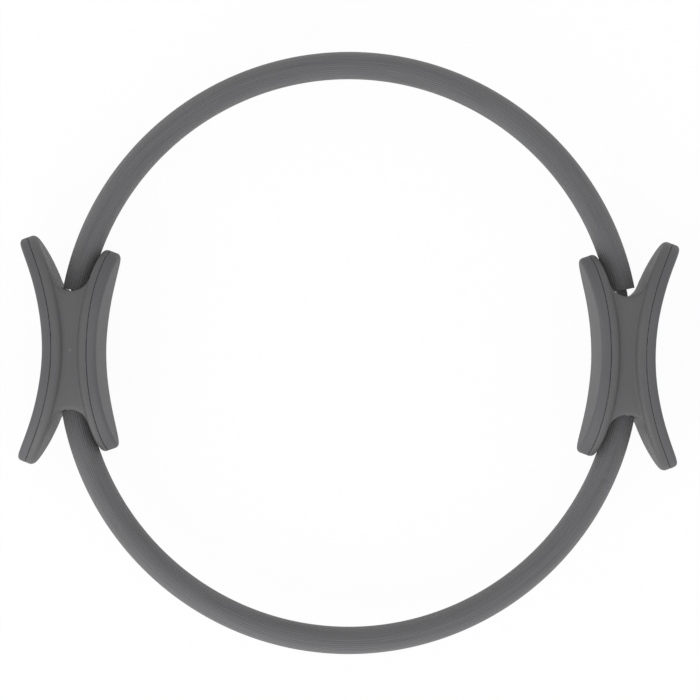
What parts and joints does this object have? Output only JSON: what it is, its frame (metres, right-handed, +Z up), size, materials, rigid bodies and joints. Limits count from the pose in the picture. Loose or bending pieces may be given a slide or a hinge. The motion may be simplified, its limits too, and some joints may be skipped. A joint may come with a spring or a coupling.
{
  "type": "pilates ring",
  "caption": "Springy exercise ring in a soft sleeve with a padded, waisted grip on each side, squeezed between hands or legs for resistance.",
  "frame": {"origin": "the ring's axis, on the floor that the grips rest on", "axes": "+X from the left grip to the right grip, +Y to the upper half hoop, +Z up along the ring's axis, towards the front of the pictured ring"},
  "size_m": [0.415, 0.38, 0.056],
  "materials": {
    "sleeve_foam": "matte ribbed foam rubber",
    "pad_foam": "matte moulded foam",
    "shell_plastic": "fine matte moulded polypropylene",
    "glass_fibre": "dark pultruded glass fibre",
    "steel": "zinc plated"
  },
  "bodies": {
    "left_grip": {"upper_outer_leaf": "glass_fibre", "upper_inner_leaf": "glass_fibre", "lower_outer_leaf": "glass_fibre", "lower_inner_leaf": "glass_fibre", "upper_sleeve": "sleeve_foam", "lower_sleeve": "sleeve_foam", "left_front_shell": "shell_plastic", "left_rear_shell": "shell_plastic", "left_outer_pad": "pad_foam", "left_inner_pad": "pad_foam", "left_upper_rivet": "steel", "left_lower_rivet": "steel", "left_shell_screws": "steel"},
    "right_grip": {"right_front_shell": "shell_plastic", "right_rear_shell": "shell_plastic", "right_outer_pad": "pad_foam", "right_inner_pad": "pad_foam", "right_upper_rivet": "steel", "right_lower_rivet": "steel", "right_shell_screws": "steel"}
  },
  "joints": [
    {"name": "squeeze", "type": "slide", "parent": "left_grip", "child": "right_grip", "axis": [-1, 0, 0], "range_m": [-0.02, 0.06], "stiffness_N_per_m": 1800, "deforming": ["upper_outer_leaf", "upper_inner_leaf", "lower_outer_leaf", "lower_inner_leaf", "upper_sleeve", "lower_sleeve"]}
  ]
}
